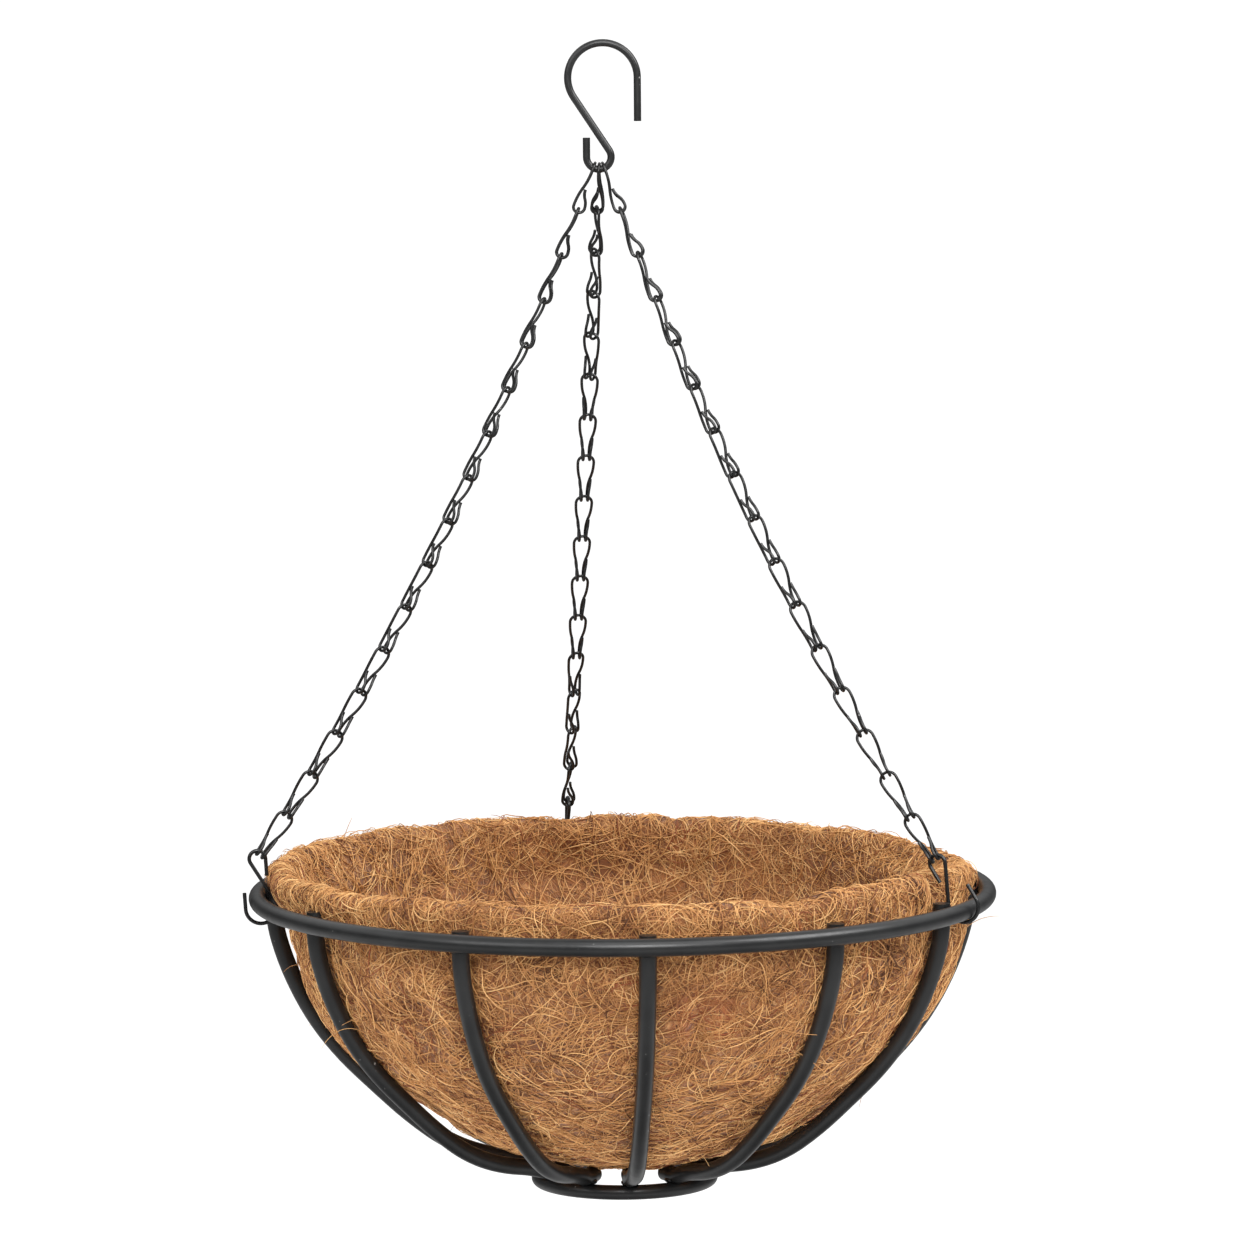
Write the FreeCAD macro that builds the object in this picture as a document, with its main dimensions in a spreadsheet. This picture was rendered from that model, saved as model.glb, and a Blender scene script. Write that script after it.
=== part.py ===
import FreeCAD, Part
import math
import os

import Sketcher

# Hanging basket. Millimetres, +Z up, +Y towards the back.
# The origin is the hang point: the inside of the top hook's upper bend, where it sits on a bracket.
# The basket hangs below it, with the rim's axis a little to the right (+X) of the hang point.

DIMENSIONS = {
    # Basket frame.
    "rim_outer_diameter": 406.4,
    "rim_tube_diameter": 9.5,
    "base_ring_diameter": 93.8,
    "base_tube_diameter": 8.0,
    "rib_rod_diameter": 9.2,
    "rib_top_height": 5.2,
    "bowl_depth": 156.5,
    # Where the rim sits under the hang point.
    "rim_drop": 458.9,
    "rim_shift": 7.2,
    # Liner.
    "liner_thickness": 9.0,
    "liner_clearance": 0.8,
    "lip_height": 16.0,
    "lip_lean": 9.0,
    # Top hook.
    "hook_wire_diameter": 4.0,
    "hook_upper_radius": 18.7,
    "hook_lower_radius": 6.6,
    "hook_bend_drop": 42.5,
    "hook_bend_shift": 2.3,
    "hook_leg_length": 23.4,
    "hook_tip_length": 10.4,
    # Chain links.
    "links_per_chain": 16,
    "link_wire_diameter": 1.6,
    "link_pitch": 26.1,
    "link_arc_radius": 4.4,
    "link_hook_radius": 3.05,
    "link_hook_spread": 1.8,
    "link_hook_height": 10.0,
    "link_gap": 0.08,
    "link_clearance": 0.03,
    "link_tilt": 4.5,
    # Rim hooks.
    "rim_hook_wire_diameter": 2.1,
    "rim_hook_bend_radius": 8.4,
    "rim_hook_eye_height": 27.0,
    "rim_hook_eye_end": 17.4,
    "rim_hook_tip_length": 9.0,
}

# The rib's centre line in its own upright plane: distance from the rim's axis, height over the rim.
RIB_OUTLINE = [
    (189.5, -6.0),
    (181.4, -39.0),
    (159.3, -77.8),
    (126.4, -111.5),
    (82.2, -140.6),
    (50.0, -148.2),
    (37.0, -148.5),
]

# Where each group's ribs stand, in degrees from the front towards +X. They are welded on by hand.
RIB_ANGLES = {
    "front": (-26.4, 3.9, 35.8),
    "right": (63.4, 95.2, 124.6),
    "back": (154.6, 184.6, 214.6),
    "left": (244.6, 272.4, 300.8),
}

# One entry per chain. foot: the rim hook's place on the rim, in degrees clockwise from the back,
# seen from above. seat: where the top link sits on the hook's lower bend, in degrees from its lowest
# point towards +X. lean: how far the rim hook leans inwards. slack: the J bend's centre from the rim
# tube's centre, outwards and up, where the hook stands loose on the rim.
# spin: how the links turn about the chain, as (link number, degrees) stations.
CHAINS = {
    "left": {"foot": -96.6, "seat": -27.0, "lean": -3.6, "slack": (-1.7, -3.5), "spin": [(1, 174), (17, 90)]},
    "right": {"foot": 112.9, "seat": 26.5, "lean": 33.0, "slack": None, "spin": [(1, 22), (17, -90)]},
    "back": {"foot": -9.7, "seat": 0.0, "lean": 33.0, "slack": None,
             "spin": [(1, 80), (7, 180), (12, 180), (17, 270)]},
}

UP = FreeCAD.Vector(0, 0, 1)
ORIGIN = FreeCAD.Vector(0, 0, 0)
NEARLY_ZERO = 1e-6
HALVINGS = 30

# Newton's method for a chain's hang, in radians: the first guess's bow either side of the chord, and the
# longest step.
FIRST_BOW = 0.1
LONGEST_STEP = 0.05
NEWTON_STEPS = 60


def make_sheet(doc):
    """Put the driving dimensions into a spreadsheet, one alias per row."""
    sheet = doc.addObject("Spreadsheet::Sheet", "dims")
    for row, (alias, value) in enumerate(DIMENSIONS.items(), start=1):
        cell = "B%d" % row
        sheet.set("A%d" % row, alias)
        sheet.set(cell, repr(value))
        sheet.setAlias(cell, alias)
    doc.recompute()
    return sheet


def rim_centre(sheet):
    return FreeCAD.Vector(sheet.rim_shift, 0, -sheet.rim_drop)


def origin_plane(body, role):
    """One of the body's own origin planes."""
    for feature in body.Origin.OriginFeatures:
        if feature.Role == role:
            return feature
    raise ValueError("no origin plane %s" % role)


def attach(body, sketch, role, offset=None):
    """Lay a sketch on one of its body's origin planes."""
    sketch.AttachmentSupport = [(origin_plane(body, role), "")]
    sketch.MapMode = "FlatFace"
    if offset is not None:
        sketch.AttachmentOffset = offset


def arc(centre, radius, start, end):
    """A counter-clockwise arc in a sketch's own plane, angles in degrees."""
    circle = Part.Circle(FreeCAD.Vector(centre[0], centre[1], 0), UP, radius)
    return Part.ArcOfCircle(circle, math.radians(start), math.radians(end))


def line(start, end):
    return Part.LineSegment(FreeCAD.Vector(start[0], start[1], 0), FreeCAD.Vector(end[0], end[1], 0))


def polar(centre, radius, angle):
    """The point at an angle (degrees) on a circle."""
    turn = math.radians(angle)
    return (centre[0] + radius * math.cos(turn), centre[1] + radius * math.sin(turn))


def crossed_tangent(centre_a, radius_a, centre_b, radius_b, side):
    """The straight that leaves circle a and joins circle b on its other side.

    Returns the direction angle of circle a's touching point; circle b's is opposite.
    """
    across = centre_b[0] - centre_a[0]
    along = centre_b[1] - centre_a[1]
    spread = math.degrees(math.acos((radius_a + radius_b) / math.hypot(across, along)))
    return math.degrees(math.atan2(along, across)) + side * spread


def wire_body(doc, name, path, start, wire_alias):
    """A round wire swept along a planar path that starts straight up or down at a point."""
    body = doc.addObject("PartDesign::Body", name)
    path_sketch = body.newObject("Sketcher::SketchObject", name + "_path")
    attach(body, path_sketch, "XZ_Plane")
    for piece in path:
        path_sketch.addGeometry(piece, False)
    profile = body.newObject("Sketcher::SketchObject", name + "_section")
    attach(body, profile, "XY_Plane", FreeCAD.Placement(FreeCAD.Vector(0, 0, start[1]), FreeCAD.Rotation()))
    profile.addGeometry(Part.Circle(FreeCAD.Vector(start[0], 0, 0), UP, 1.0), False)
    profile.addConstraint(Sketcher.Constraint("DistanceX", -1, 1, 0, 3, start[0]))
    profile.addConstraint(Sketcher.Constraint("DistanceY", -1, 1, 0, 3, 0.0))
    radius = profile.addConstraint(Sketcher.Constraint("Radius", 0, 1.0))
    profile.setExpression("Constraints[%d]" % radius, "dims.%s / 2" % wire_alias)
    pipe = body.newObject("PartDesign::AdditivePipe", name + "_wire")
    pipe.Profile = profile
    pipe.Spine = path_sketch
    body.Tip = pipe
    return body


def make_top_hook(doc, sheet):
    """The S hook: a straight leg, the big upper bend, a diagonal, the small lower bend, a short tip."""
    upper_radius = sheet.hook_upper_radius
    lower_radius = sheet.hook_lower_radius
    upper = (0.0, sheet.hook_wire_diameter / 2 - upper_radius)
    lower = (upper[0] - sheet.hook_bend_shift, upper[1] - sheet.hook_bend_drop)
    turn = crossed_tangent(upper, upper_radius, lower, lower_radius, -1)
    leg_end = (upper[0] + upper_radius, upper[1] - sheet.hook_leg_length)
    tip_base = (lower[0] - lower_radius, lower[1])
    path = [
        line(leg_end, (leg_end[0], upper[1])),
        arc(upper, upper_radius, 0, turn + 360),
        line(polar(upper, upper_radius, turn), polar(lower, lower_radius, turn + 180)),
        arc(lower, lower_radius, 180, turn + 540),
        line(tip_base, (tip_base[0], lower[1] + sheet.hook_tip_length)),
    ]
    return wire_body(doc, "top_hook", path, leg_end, "hook_wire_diameter")


def make_rim_hook(doc, sheet, name):
    """A rim hook standing upright: closed teardrop eye above an open J bend centred on its own origin."""
    bend_radius = sheet.rim_hook_bend_radius
    eye_radius = sheet.link_arc_radius
    eye = (0.0, sheet.rim_hook_eye_height)
    bend = (0.0, 0.0)
    turn = crossed_tangent(eye, eye_radius, bend, bend_radius, 1)
    eye_end = (eye[0] - eye_radius, sheet.rim_hook_eye_end)
    path = [
        line(eye_end, (eye_end[0], eye[1])),
        arc(eye, eye_radius, turn, 180),
        line(polar(eye, eye_radius, turn), polar(bend, bend_radius, turn + 180)),
        arc(bend, bend_radius, turn + 180, 360),
        line((bend[0] + bend_radius, bend[1]), (bend[0] + bend_radius, sheet.rim_hook_tip_length)),
    ]
    return wire_body(doc, name, path, eye_end, "rim_hook_wire_diameter")


def make_ring(doc, name, diameter, tube, drop):
    """A closed round tube about the rim's axis. diameter is its centre line's, drop its depth."""
    ring = doc.addObject("Part::Torus", name)
    ring.setExpression("Radius1", "(%s) / 2 * 1 mm" % diameter)
    ring.setExpression("Radius2", "dims.%s / 2 * 1 mm" % tube)
    ring.setExpression("Placement.Base.x", "dims.rim_shift * 1 mm")
    ring.setExpression("Placement.Base.z", "-(%s) * 1 mm" % drop)
    return ring


def arc_from(start, leaving, end):
    """The arc, or the straight, that leaves a point in a direction and reaches another point."""
    chord = end - start
    along = FreeCAD.Vector(chord).normalize()
    aside = leaving - along * leaving.dot(along)
    if aside.Length < NEARLY_ZERO:
        return Part.LineSegment(start, end)
    opening = math.atan2(aside.Length, leaving.dot(along))
    rise = chord.Length / 2 * math.tan(opening / 2)
    middle = (start + end) * 0.5 + FreeCAD.Vector(aside).normalize() * rise
    return Part.Arc(start, middle, end)


def arc_into(start, end, arriving):
    """The arc, or the straight, that leaves a point and reaches another point in a direction."""
    back = arc_from(end, arriving * -1, start)
    if isinstance(back, Part.LineSegment):
        return Part.LineSegment(start, end)
    halfway = back.value((back.FirstParameter + back.LastParameter) / 2)
    return Part.Arc(start, halfway, end)


def two_arcs(start, leaving, end, arriving):
    """Two arcs that meet smoothly, between two points with a direction at each."""
    reach = end - start
    along = reach.dot(leaving + arriving)
    turn = 2 * (1 - leaving.dot(arriving))
    if turn < NEARLY_ZERO:
        handle = reach.dot(reach) / (2 * along)
    else:
        handle = (math.sqrt(along ** 2 + turn * reach.dot(reach)) - along) / turn
    middle = (start + end + (leaving - arriving) * handle) * 0.5
    return [arc_from(start, leaving, middle), arc_into(middle, end, arriving)]


def rib_points(sheet):
    """The points the rib's centre line runs through, from its top end."""
    top = FreeCAD.Vector(RIB_OUTLINE[0][0], sheet.rib_top_height, 0)
    return [top] + [FreeCAD.Vector(out, height, 0) for out, height in RIB_OUTLINE]


def rib_curve(sheet):
    """The rib's centre line as one smooth curve, straight down at the rim and level at the base."""
    curve = Part.BSplineCurve()
    curve.interpolate(rib_points(sheet), InitialTangent=FreeCAD.Vector(0, -1, 0),
                      FinalTangent=FreeCAD.Vector(-1, 0, 0))
    return curve


def rib_path(sheet):
    """The rib's centre line as arcs, two between each pair of its points."""
    curve = rib_curve(sheet)
    points = rib_points(sheet)
    headings = [curve.tangent(curve.parameter(point))[0] for point in points]
    path = []
    for start, leaving, end, arriving in zip(points, headings, points[1:], headings[1:]):
        path += two_arcs(start, leaving, end, arriving)
    return path


def make_rib(doc, sheet, rim, base):
    """One rib rod, cut to fit against the rim tube and the base ring."""
    start = (RIB_OUTLINE[0][0], sheet.rib_top_height)
    rod = wire_body(doc, "rib_rod", rib_path(sheet), start, "rib_rod_diameter")
    rod.Placement.Base = rim_centre(sheet)
    off_rim = doc.addObject("Part::Cut", "rib_off_rim")
    off_rim.Base = rod
    off_rim.Tool = rim
    coped = doc.addObject("Part::Cut", "rib_coped")
    coped.Base = off_rim
    coped.Tool = base
    return coped


def make_ribs(doc, sheet, coped):
    """The ribs in groups of neighbours: each group is one node of separate rods."""
    groups = []
    for group, angles in RIB_ANGLES.items():
        rods = []
        for angle in angles:
            rod = coped.Shape.copy()
            rod.rotate(rim_centre(sheet), UP, angle - 90.0)
            rods.append(rod)
        feature = doc.addObject("Part::Feature", "ribs_" + group)
        feature.Shape = Part.makeCompound(rods)
        groups.append(feature)
    return groups


def offset_points(path, distance):
    """Points beside a path of arcs, on its inner side, one at the middle of each arc."""
    points = []
    for piece in path:
        middle = (piece.FirstParameter + piece.LastParameter) / 2
        tangent = piece.tangent(middle)[0]
        inward = FreeCAD.Vector(tangent.y, -tangent.x, 0)
        points.append(piece.value(middle) + inward * distance)
    return points


def smooth_curve(points):
    curve = Part.BSplineCurve()
    curve.interpolate(points)
    return curve


def make_liner(doc, sheet):
    """The liner: a felt bowl just inside the ribs, open at the top, leaning inwards at its lip."""
    body = doc.addObject("PartDesign::Body", "coir_liner")
    sketch = body.newObject("Sketcher::SketchObject", "liner_outline")
    attach(body, sketch, "XZ_Plane")
    below_rim = rib_path(sheet)[2:]
    skin = sheet.rib_rod_diameter / 2 + sheet.liner_clearance
    thickness = sheet.liner_thickness
    rim_out = RIB_OUTLINE[0][0] - skin
    lip_out = FreeCAD.Vector(rim_out - sheet.lip_lean, sheet.lip_height - thickness / 2, 0)
    lip_in = FreeCAD.Vector(lip_out.x - thickness, lip_out.y, 0)
    lip_top = FreeCAD.Vector((lip_out.x + lip_in.x) / 2, sheet.lip_height, 0)
    floor = RIB_OUTLINE[-1][1] + skin
    outer = [lip_out] + offset_points(below_rim, skin) + [FreeCAD.Vector(0, floor, 0)]
    inner = [lip_in] + offset_points(below_rim, skin + thickness)
    inner += [FreeCAD.Vector(0, floor + thickness, 0)]
    sketch.addGeometry(smooth_curve(outer), False)
    sketch.addGeometry(line((0, floor), (0, floor + thickness)), False)
    sketch.addGeometry(smooth_curve(inner), False)
    sketch.addGeometry(Part.Arc(lip_in, lip_top, lip_out), False)
    turned = body.newObject("PartDesign::Revolution", "liner_bowl")
    turned.Profile = sketch
    turned.ReferenceAxis = (sketch, ["V_Axis"])
    turned.Angle = 360.0
    body.Tip = turned
    body.Placement.Base = rim_centre(sheet)
    return body


def hook_drop(sheet):
    """How far the link's hook centre lies above the wire it holds, at the middle of that wire."""
    wire = sheet.link_wire_diameter
    arc_radius = sheet.link_arc_radius
    spread = sheet.link_hook_spread
    fall = arc_radius - math.sqrt(arc_radius ** 2 - spread ** 2)
    slope = math.asin(spread / arc_radius)
    return sheet.link_hook_radius - wire / math.cos(slope) - fall - sheet.link_gap


def half_link(sheet, side):
    """Edges from the middle of one side of the top arc down the leg and round its hook to the wire's end."""
    arc_radius = sheet.link_arc_radius
    hook_radius = sheet.link_hook_radius
    spread = side * sheet.link_hook_spread
    level = arc_radius - sheet.link_pitch + hook_drop(sheet)
    shoulder = FreeCAD.Vector(side * arc_radius, 0, 0)
    heel = FreeCAD.Vector(spread, -hook_radius, level)
    down = UP * -1
    leg = two_arcs(shoulder, down, heel, down)
    bottom = FreeCAD.Vector(spread, 0, level - hook_radius)
    toe = FreeCAD.Vector(spread, hook_radius, level)
    turn = Part.Arc(heel, bottom, toe)
    end = point_at(leg[1], level + sheet.link_hook_height)
    end.y += sheet.link_wire_diameter + sheet.link_gap
    tail = two_arcs(toe, UP, end, UP)
    return [piece.toShape() for piece in leg + [turn] + tail]


def point_at(falling, height):
    """The point of a falling arc at a height, found by halving."""
    low, high = falling.FirstParameter, falling.LastParameter
    for _ in range(HALVINGS):
        middle = (low + high) / 2
        if falling.value(middle).z > height:
            low = middle
        else:
            high = middle
    return falling.value(low)


def make_link_shape(sheet):
    """One chain link, its top arc centred on the origin and its hooks hanging down -Z.

    A single wire: end, hook, leg, top arc, leg, hook, end. The hooks open towards +Y.
    """
    top = top_arc(sheet.link_arc_radius)
    left = half_link(sheet, -1)
    right = half_link(sheet, 1)
    path = Part.Wire(Part.__sortEdges__(left[::-1] + [top] + right))
    first = path.OrderedEdges[0]
    start = path.OrderedVertexes[0].Point
    tangent = first.tangentAt(first.FirstParameter)
    section = Part.Wire(Part.makeCircle(sheet.link_wire_diameter / 2, start, tangent))
    return path.makePipeShell([section], True, False)


def spin_angle(stations, number):
    """The turn of a link about the chain, eased between its stations."""
    for (first, low), (last, high) in zip(stations, stations[1:]):
        if number <= last:
            share = (number - first) / (last - first)
            return low + (high - low) * share
    return stations[-1][1]


def seat_point(sheet, chain):
    """The hook wire's centre under a chain's top link."""
    upper_height = sheet.hook_wire_diameter / 2 - sheet.hook_upper_radius
    centre = (-sheet.hook_bend_shift, upper_height - sheet.hook_bend_drop)
    place = polar(centre, sheet.hook_lower_radius, chain["seat"] - 90)
    return FreeCAD.Vector(place[0], 0, place[1])


def foot_frame(sheet, chain):
    """The rim tube's centre at a chain's foot and the outward direction there."""
    turn = math.radians(chain["foot"])
    outward = FreeCAD.Vector(math.sin(turn), math.cos(turn), 0)
    radius = (sheet.rim_outer_diameter - sheet.rim_tube_diameter) / 2
    return rim_centre(sheet) + outward * radius, outward


def rim_hook_placement(sheet, chain):
    """Where a rim hook stands: its J bend's centre, its lean and its outward direction."""
    foot, outward = foot_frame(sheet, chain)
    lean = math.radians(chain["lean"])
    stem = outward * -math.sin(lean) + UP * math.cos(lean)
    if chain["slack"] is None:
        tube = sheet.rim_tube_diameter / 2
        play = sheet.rim_hook_bend_radius - sheet.rim_hook_wire_diameter / 2 - tube - sheet.link_gap
        centre = foot + stem * play
    else:
        centre = foot + outward * chain["slack"][0] + UP * chain["slack"][1]
    across = UP.cross(outward)
    side = across.cross(stem)
    return FreeCAD.Placement(centre, FreeCAD.Rotation(side, across, stem, "ZXY")), stem


def eye_centre(sheet, chain):
    placement, stem = rim_hook_placement(sheet, chain)
    return placement.Base + stem * sheet.rim_hook_eye_height


def hook_edges(sheet):
    """The centre lines of a link's two hook bends."""
    return Part.makeCompound([half_link(sheet, side)[2] for side in (-1, 1)])


def top_arc(radius):
    """The centre line of a top arc or an eye, centred on the origin."""
    return Part.Arc(FreeCAD.Vector(-radius, 0, 0), FreeCAD.Vector(0, 0, radius),
                    FreeCAD.Vector(radius, 0, 0)).toShape()


def least_distance(hooks, held, length, twist, tilt):
    """The least distance between a link's hooks and the turned arc they hold, over all ways it tilts."""
    distances = []
    for axis in (FreeCAD.Vector(1, 0, 0), FreeCAD.Vector(0, 1, 0)):
        for way in (-tilt, tilt):
            moved = held.copy()
            moved.rotate(ORIGIN, UP, twist)
            moved.rotate(ORIGIN, axis, way)
            moved.translate(UP * -length)
            distances.append(hooks.distToShape(moved)[0])
    return min(distances)


def free_length(sheet, held_wire, twist):
    """The longest distance between two linked arc centres that keeps the wires apart, by halving."""
    hooks = hook_edges(sheet)
    held = top_arc(sheet.link_arc_radius)
    apart = (sheet.link_wire_diameter + held_wire) / 2 + sheet.link_clearance
    short, long = sheet.link_pitch - 3 * sheet.link_wire_diameter, sheet.link_pitch
    for _ in range(HALVINGS):
        middle = (short + long) / 2
        if least_distance(hooks, held, middle, twist, sheet.link_tilt) > apart:
            short = middle
        else:
            long = middle
    return short


def link_lengths(sheet, chain):
    """Distance from each link's arc centre to the next piece's arc centre, top link first."""
    count = int(sheet.links_per_chain)
    lengths = []
    found = {}
    for number in range(1, count + 1):
        twist = spin_angle(chain["spin"], number + 1) - spin_angle(chain["spin"], number)
        held_wire = sheet.rim_hook_wire_diameter if number == count else sheet.link_wire_diameter
        pair = (held_wire, round(twist, 6))
        if pair not in found:
            found[pair] = free_length(sheet, held_wire, twist)
        lengths.append(found[pair])
    return lengths


def hang_angles(steep, shallow, count):
    """Angles from the vertical of a slack chain's links, top link first."""
    ratio = math.tan(steep) / (math.tan(shallow) - math.tan(steep))
    pull = ratio * math.tan(shallow)
    return [math.atan(pull / (ratio + (count - 0.5 - place) / count)) for place in range(count)]


def chain_end(steep, shallow, seat_length, lengths):
    """Sideways and downward reach of a hanging chain."""
    angles = hang_angles(steep, shallow, len(lengths))
    out = seat_length * math.sin(angles[0])
    down = seat_length * math.cos(angles[0])
    for angle, length in zip(angles, lengths):
        out += length * math.sin(angle)
        down += length * math.cos(angle)
    return out, down


def solve_hang(out, down, seat_length, lengths):
    """The top and bottom angles that make the chain reach its rim hook, by Newton's method."""
    chord = math.atan2(out, down)
    steep = chord - FIRST_BOW
    shallow = chord + FIRST_BOW
    for _ in range(NEWTON_STEPS):
        here = chain_end(steep, shallow, seat_length, lengths)
        by_steep = chain_end(steep + NEARLY_ZERO, shallow, seat_length, lengths)
        by_shallow = chain_end(steep, shallow + NEARLY_ZERO, seat_length, lengths)
        a = (by_steep[0] - here[0]) / NEARLY_ZERO
        b = (by_shallow[0] - here[0]) / NEARLY_ZERO
        c = (by_steep[1] - here[1]) / NEARLY_ZERO
        d = (by_shallow[1] - here[1]) / NEARLY_ZERO
        miss_out = out - here[0]
        miss_down = down - here[1]
        scale = a * d - b * c
        change_steep = (d * miss_out - b * miss_down) / scale
        change_shallow = (a * miss_down - c * miss_out) / scale
        limit = max(1.0, abs(change_steep) / LONGEST_STEP, abs(change_shallow) / LONGEST_STEP)
        steep += change_steep / limit
        shallow += change_shallow / limit
    return steep, shallow


def seat_drop(sheet):
    """How far the hook wire's centre lies above the top link's arc centre."""
    return (sheet.link_arc_radius - sheet.link_wire_diameter / 2
            - sheet.hook_wire_diameter / 2 - sheet.link_gap)


def chain_layout(sheet, chain):
    """Each link's arc centre, downward direction and spin, with the chain's outward direction."""
    seat = seat_point(sheet, chain)
    reach = eye_centre(sheet, chain) - seat
    out = math.hypot(reach.x, reach.y)
    outward = FreeCAD.Vector(reach.x / out, reach.y / out, 0)
    lengths = link_lengths(sheet, chain)
    steep, shallow = solve_hang(out, -reach.z, seat_drop(sheet), lengths)
    angles = hang_angles(steep, shallow, len(lengths))
    downs = [outward * math.sin(angle) - UP * math.cos(angle) for angle in angles]
    links = []
    centre = seat + downs[0] * seat_drop(sheet)
    for number, (down, length) in enumerate(zip(downs, lengths), start=1):
        links.append({"centre": centre, "down": down, "spin": spin_angle(chain["spin"], number)})
        centre = centre + down * length
    return links, outward


def link_placement(link, outward):
    """Turn the upright master link along its chain and spin it about the chain."""
    across = UP.cross(outward)
    in_plane = across.cross(link["down"]) * -1
    spin = math.radians(link["spin"])
    open_side = in_plane * math.cos(spin) + across * math.sin(spin)
    stem = link["down"] * -1
    width = open_side.cross(stem)
    return FreeCAD.Placement(link["centre"], FreeCAD.Rotation(width, open_side, stem, "ZXY"))


def make_chain(doc, sheet, name, chain, link_shape):
    """All links of one chain, top link first, each a copy of the master link."""
    features = []
    links, outward = chain_layout(sheet, chain)
    for number, link in enumerate(links, start=1):
        feature = doc.addObject("Part::Feature", "chain_%s_link_%02d" % (name, number))
        feature.Shape = link_shape.copy()
        feature.Placement = link_placement(link, outward)
        features.append(feature)
    return features


def check_document(doc):
    """Stop if any object failed to build."""
    for item in doc.Objects:
        for state in item.State:
            if state in ("Invalid", "Error"):
                raise RuntimeError("%s is %s" % (item.Name, state))


def write_parts(features):
    """Check each sub-part's shape and write it to parts/."""
    os.makedirs("parts", exist_ok=True)
    for feature in features:
        shape = feature.Shape
        if shape.isNull() or not shape.isValid():
            raise RuntimeError("%s has no valid shape" % feature.Label)
    for feature in features:
        feature.Shape.exportStep("parts/%s.step" % feature.Label)


def build():
    doc = FreeCAD.newDocument("hanging_basket")
    sheet = make_sheet(doc)
    parts = [make_top_hook(doc, sheet)]
    rim = make_ring(doc, "rim_ring", "dims.rim_outer_diameter - dims.rim_tube_diameter",
                    "rim_tube_diameter", "dims.rim_drop")
    base = make_ring(doc, "base_ring", "dims.base_ring_diameter",
                     "base_tube_diameter", "dims.rim_drop + dims.bowl_depth")
    coped = make_rib(doc, sheet, rim, base)
    parts += [rim, base, make_liner(doc, sheet)]
    doc.recompute()
    parts += make_ribs(doc, sheet, coped)
    link_shape = make_link_shape(sheet)
    for name, chain in CHAINS.items():
        rim_hook = make_rim_hook(doc, sheet, "rim_hook_" + name)
        rim_hook.Placement = rim_hook_placement(sheet, chain)[0]
        parts.append(rim_hook)
        parts += make_chain(doc, sheet, name, chain, link_shape)
    doc.recompute()
    check_document(doc)
    write_parts(parts)


build()
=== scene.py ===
"""Hanging basket: black powder-coated bowl frame, three wire chains on an S hook, and a coir liner.

The metal parts are the CAD nodes with procedural finishes. The liner is rebuilt here as a felted shell
with loose coir strands, and it rides the basket. Lengths below are in millimetres until they meet Blender.
"""

import math

import bpy
import numpy as np
from mathutils import Matrix, Vector
from mathutils.kdtree import KDTree


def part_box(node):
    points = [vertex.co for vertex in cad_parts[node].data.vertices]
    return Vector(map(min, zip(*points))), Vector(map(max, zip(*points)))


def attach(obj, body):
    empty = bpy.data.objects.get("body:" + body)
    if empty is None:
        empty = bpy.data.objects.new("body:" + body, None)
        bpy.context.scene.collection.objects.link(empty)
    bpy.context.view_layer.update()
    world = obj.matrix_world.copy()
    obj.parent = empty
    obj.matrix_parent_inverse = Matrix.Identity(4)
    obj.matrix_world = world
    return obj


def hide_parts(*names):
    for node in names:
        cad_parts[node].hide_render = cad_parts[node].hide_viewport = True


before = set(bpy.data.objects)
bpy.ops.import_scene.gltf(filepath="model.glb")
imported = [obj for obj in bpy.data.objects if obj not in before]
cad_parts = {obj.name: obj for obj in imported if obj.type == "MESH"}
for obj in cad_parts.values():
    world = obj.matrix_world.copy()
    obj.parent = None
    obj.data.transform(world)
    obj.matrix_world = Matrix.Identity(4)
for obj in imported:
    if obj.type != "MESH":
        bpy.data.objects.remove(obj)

MM = 0.001
SEED = 11

# ---------------------------------------------------------------- small helpers


def smoothstep(low, high, value):
    """0 below low, 1 above high and a smooth ramp between them, for numbers or arrays."""
    share = np.clip((value - low) / (high - low), 0.0, 1.0)
    return share * share * (3.0 - 2.0 * share)


def unit(vectors):
    """Rows of vectors scaled to length one."""
    length = np.linalg.norm(vectors, axis=-1, keepdims=True)
    return vectors / np.maximum(length, 1e-12)


def value_noise(points, wavelength, seed):
    """Smooth noise from -1 to 1 at an (..., 3) array of points, with features about one wavelength wide."""
    lattice = np.random.default_rng(seed).uniform(-1.0, 1.0, (32, 32, 32))
    cell = points / wavelength
    corner = np.floor(cell).astype(int)
    share = smoothstep(0.0, 1.0, cell - corner)
    total = np.zeros(points.shape[:-1])
    for step in np.ndindex(2, 2, 2):
        index = (corner + step) % 32
        weight = np.prod(np.where(step, share, 1.0 - share), axis=-1)
        total += weight * lattice[index[..., 0], index[..., 1], index[..., 2]]
    return total


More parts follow.
